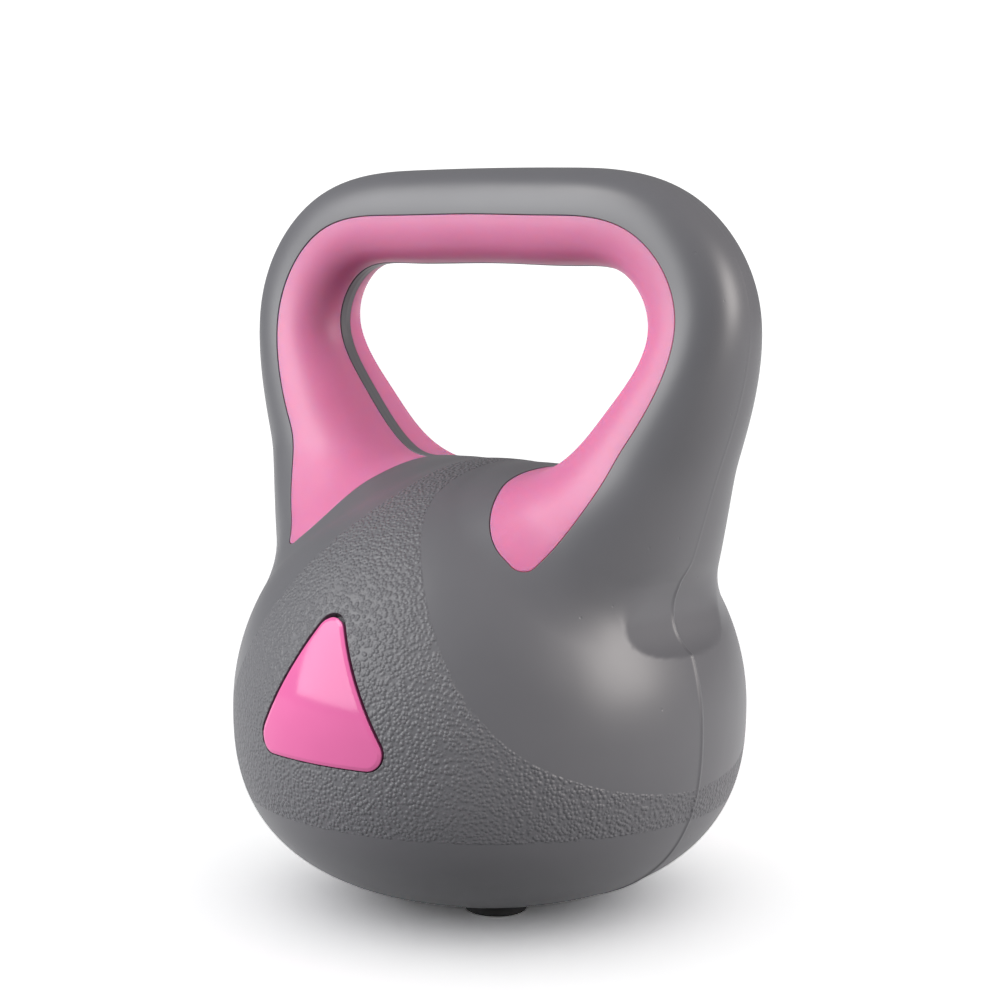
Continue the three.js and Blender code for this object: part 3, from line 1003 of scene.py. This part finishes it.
def standing(node):
    """Centre (x, y), radius, lowest and highest z of a round node that stands upright."""
    low, high = box_mm(node)
    return (low + high)[:2] / 2, (high[0] - low[0]) / 2, low[2], high[2]


FEET = [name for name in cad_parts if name.endswith("_foot")]
WELL_LEVELS = {
    name: circle_level(standing(name)[0], standing(name)[1] + WELL_GAP) for name in [*FEET, "fill_plug"]
}
# Each pocket's level and how far out its lip starts, its plate's level and how far in the plate's rim starts
OUTLINES = {
    INLAY_POCKET: (inlay_level, INLAY_GAP / 2 + INLAY_LIP, inlay_level, INLAY_GAP / 2 + INLAY_LIP),
    BADGE_POCKET: (badge_level, BADGE_LIP, badge_plate_level, BADGE_GAP + BADGE_BEVEL),
}


def cut_skin():
    """The body's surface with the parting line, the outlines of all the pockets and their plates cut in."""
    skin = Skin()
    for row in LINE_ROWS:
        skin.cut(lambda points, row=row: points[:, 1] - row)
    for level, outward, plate_level, inward in OUTLINES.values():
        skin.refine(level, REFINE_REACH)
        skin.cut(shifted(level, outward))
        skin.cut(shifted(plate_level, -inward))
    for level in WELL_LEVELS.values():
        skin.cut(level)
    return skin


def add_shell(skin, points, normals, material):
    pocket_of = np.full(len(skin.faces), SKIN)
    for pocket, (level, outward, _, _) in OUTLINES.items():
        pocket_of[skin.inside(shifted(level, outward))] = pocket
    for name, level in WELL_LEVELS.items():
        pocket_of[skin.inside(level)] = PLUG_WELL if name == "fill_plug" else FOOT_WELL
    shell = Shell(points, normals, skin.faces, pocket_of)
    shell.sink(INLAY_POCKET, None, INLAY_LIP, INLAY_DEPTH + INLAY_SINK + POCKET_SPARE)
    shell.sink(BADGE_POCKET, None, BADGE_LIP, BADGE_SINK + BADGE_DEPTH + TAPE_ROOM)
    shell.sink(FOOT_WELL, UPWARD, WELL_LIP, standing(FEET[0])[3] + WELL_GAP)
    shell.sink(PLUG_WELL, UPWARD, WELL_LIP, standing("plug_seal")[3] + WELL_GAP)
    made = add_object("shell", shell.points, shell.faces, material, shell.normals)
    grain = made.data.attributes.new(GRAIN_NAME, "FLOAT", "POINT")
    grain.data.foreach_set("value", grain_level(shell.points).astype(np.float32))
    return placed(made, "shell_grey", "body_shell")


def placed(piece, slot, *nodes):
    """Gives a piece its body and hides the CAD nodes that it stands for; slot, its finish, is not used."""
    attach(piece, "root")
    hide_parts(*nodes)
    return piece


def add_plates(skin, points, normals, pocket, node, slot, material, sizes):
    """The front and the rear piece that fill a pair of pockets."""
    _, _, level, inward = OUTLINES[pocket]
    inside = skin.inside(shifted(level, -inward))
    front = points[skin.faces].mean(1)[:, 1] < 0
    for side, chosen in (("front", front), ("rear", ~front)):
        made_points, made_normals, made_faces = plate(points, normals, skin.faces[inside & chosen], *sizes)
        made = add_object(f"{side}_{node}_moulding", made_points, made_faces, material, made_normals)
        placed(made, slot, f"{side}_{node}")


def add_foot(node, material):
    """A rubber foot with a rounded tread, a shallow ring groove and a dished middle."""
    centre, radius, bottom, top = standing(node)
    profile = [(out, bottom + up) for out, up in TREAD]
    profile += arc((radius - TREAD_ROUNDING, bottom + TREAD_ROUNDING), TREAD_ROUNDING, -90, 0)
    profile += arc((radius - FOOT_TOP_ROUNDING, top - FOOT_TOP_ROUNDING), FOOT_TOP_ROUNDING, 0, 90, 3)
    profile += [(0, top)]
    made = add_turned(f"{node}_pad", profile, centre, material)
    placed(made, "rubber_black", node)


def add_plug(material):
    """The fill plug: a thin flange with a rounded edge and a coin slot, on a hollow tapered stem."""
    node = "fill_plug"
    centre, radius, bottom, top = standing(node)
    flange = bottom + PLUG_FLANGE
    stem = PLUG_STEM_RADIUS
    profile = [(0, bottom)]
    profile += [(radius - inward, bottom + up) for inward, up in PLUG_GROOVE]
    profile += arc((radius - PLUG_ROUNDING, bottom + PLUG_ROUNDING), PLUG_ROUNDING, -90, 0)
    profile += [(radius, flange), (stem, flange)]
    profile += [(stem - inward, top - down) for inward, down in PLUG_STEM_TIP]
    profile += [(stem - PLUG_STEM_WALL, flange), (0, flange)]
    made = add_turned("fill_plug_moulding", profile, centre, material)
    length, width, depth = COIN_SLOT_HALF_LENGTH, COIN_SLOT_HALF_WIDTH, COIN_SLOT_DEPTH
    cutter = add_box("slot_cutter", (-length, -width, bottom - depth), (length, width, bottom + depth))
    cut = made.modifiers.new("slot", "BOOLEAN")
    cut.object = cutter
    cut.solver = "EXACT"
    finish_modifiers(made)
    bpy.data.objects.remove(cutter)
    made.data.set_sharp_from_angle(angle=CREASE)
    placed(made, "plug_grey", node)


def add_box(name, low, high):
    corners = np.array([(x, y, z) for x in (0, 1) for y in (0, 1) for z in (0, 1)], float)
    points = np.array(low) + corners * (np.array(high) - np.array(low))
    quads = [(0, 1, 3, 2), (4, 6, 7, 5), (0, 4, 5, 1), (2, 3, 7, 6), (0, 2, 6, 4), (1, 5, 7, 3)]
    faces = np.array([corner for a, b, c, d in quads for corner in ((a, b, c), (a, c, d))])
    return add_object(name, points, faces, None)


def finish_modifiers(piece):
    """Makes a piece's modifiers part of its mesh."""
    bpy.context.view_layer.update()
    seen = piece.evaluated_get(bpy.context.evaluated_depsgraph_get())
    mesh = bpy.data.meshes.new_from_object(seen)
    piece.modifiers.clear()
    piece.data = mesh


def dress(node, material):
    """Gives a CAD node that stays its finish."""
    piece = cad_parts[node]
    piece.data.materials.clear()
    piece.data.materials.append(material)


def build_kettlebell():
    skin = cut_skin()
    normals = body_normals(skin.points)
    points, normals = raise_parting_line(skin.points, normals)
    add_shell(skin, points, normals, shell_material())
    inlay_sizes = (INLAY_SINK, round_lip(INLAY_LIP), INLAY_DEPTH)
    inlay_pink = inlay_material()
    add_plates(skin, points, normals, INLAY_POCKET, "grip_inlay", "inlay_pink", inlay_pink, inlay_sizes)
    badge_sizes = (BADGE_SINK, BADGE_RIM, BADGE_DEPTH)
    badge_gloss = badge_material()
    add_plates(skin, points, normals, BADGE_POCKET, "badge", "badge_gloss_pink", badge_gloss, badge_sizes)
    rubber = rubber_material()
    for node in FEET:
        add_foot(node, rubber)
    add_plug(plug_material())
    dress("plug_seal", rubber)
    dress("mortar_fill", mortar_material())
    tape = tape_material()
    for side in ("front", "rear"):
        dress(f"{side}_badge_tape", tape)


# ---- stage, lights and camera
def direction(azimuth, elevation):
    """Unit vector towards a place seen from the object. Azimuth 0 is in front (-Y), and 90 is at +X."""
    a, e = math.radians(azimuth), math.radians(elevation)
    return Vector((math.sin(a) * math.cos(e), -math.cos(a) * math.cos(e), math.sin(e)))


def add_floor():
    """A white floor that runs into the backdrop, lit only from all round, so that its shadows stay soft."""
    points = np.array([(-1, -1, 0), (1, -1, 0), (1, 1, 0), (-1, 1, 0)], float) * FLOOR_HALF_SIDE
    paint = Paint("studio_floor", Roughness=1.0)
    bounced = paint.nodes.new("ShaderNodeLightPath").outputs["Is Diffuse Ray"]
    white, dim = BACKDROP / FILL, FLOOR_BOUNCE
    paint.put(paint.shader, "Base Color", paint.mix(bounced, (white, white, white), (dim, dim, dim)))
    paint.put(paint.shader, "Specular IOR Level", 0.0)
    floor = add_object("studio_floor", points, np.array([(0, 1, 2), (0, 2, 3)]), paint.material)
    return floor


def add_light(name, azimuth, elevation, size, power, colour, unlit):
    """A softbox that lights everything but the collection given as unlit."""
    light = bpy.data.lights.new(name, "AREA")
    light.shape = "RECTANGLE"
    light.size, light.size_y = size
    light.energy = power
    light.color = colour
    made = bpy.data.objects.new(name, light)
    aim = Vector((0, 0, AIM_Z * MM))
    made.location = aim + direction(azimuth, elevation) * LIGHT_DISTANCE
    made.rotation_euler = (made.location - aim).to_track_quat("Z", "Y").to_euler()
    made.light_linking.receiver_collection = unlit
    bpy.context.scene.collection.objects.link(made)


def add_world(strength):
    """A white studio: plain white where the camera sees it, and a softer fill where it lights the object."""
    world = bpy.data.worlds.new("studio")
    world.use_nodes = True
    nodes, links = world.node_tree.nodes, world.node_tree.links
    nodes["Background"].inputs["Color"].default_value = (1, 1, 1, 1)
    path = nodes.new("ShaderNodeLightPath")
    ramp = nodes.new("ShaderNodeMapRange")
    ramp.inputs["To Min"].default_value = strength
    ramp.inputs["To Max"].default_value = BACKDROP
    links.new(path.outputs["Is Camera Ray"], ramp.inputs["Value"])
    links.new(ramp.outputs["Result"], nodes["Background"].inputs["Strength"])
    bpy.context.scene.world = world


def add_camera():
    data = bpy.data.cameras.new("camera")
    data.sensor_width = CAMERA_SENSOR
    data.lens = CAMERA_LENS
    camera = bpy.data.objects.new("camera", data)
    back = direction(CAMERA_AZIMUTH, CAMERA_ELEVATION)
    right = UP.cross(back).normalized()
    up = back.cross(right)
    turn = math.radians(CAMERA_ROLL)
    rolled_right = right * math.cos(turn) + up * math.sin(turn)
    rolled_up = up * math.cos(turn) - right * math.sin(turn)
    place = (Vector(CAMERA_TARGET) + back * CAMERA_DISTANCE) * MM
    facing = Matrix((rolled_right, rolled_up, back)).transposed().to_4x4()
    camera.matrix_world = Matrix.Translation(place) @ facing
    data.clip_start, data.clip_end = CAMERA_CLIP
    bpy.context.scene.collection.objects.link(camera)
    bpy.context.scene.camera = camera


add_camera()
build_kettlebell()
unlit = bpy.data.collections.new("unlit")
unlit.objects.link(add_floor())
unlit.collection_objects[0].light_linking.link_state = "EXCLUDE"
add_world(FILL)
for name, settings in SOFTBOXES.items():
    add_light(name, *settings, unlit)
bpy.context.scene.view_settings.view_transform = "Standard"
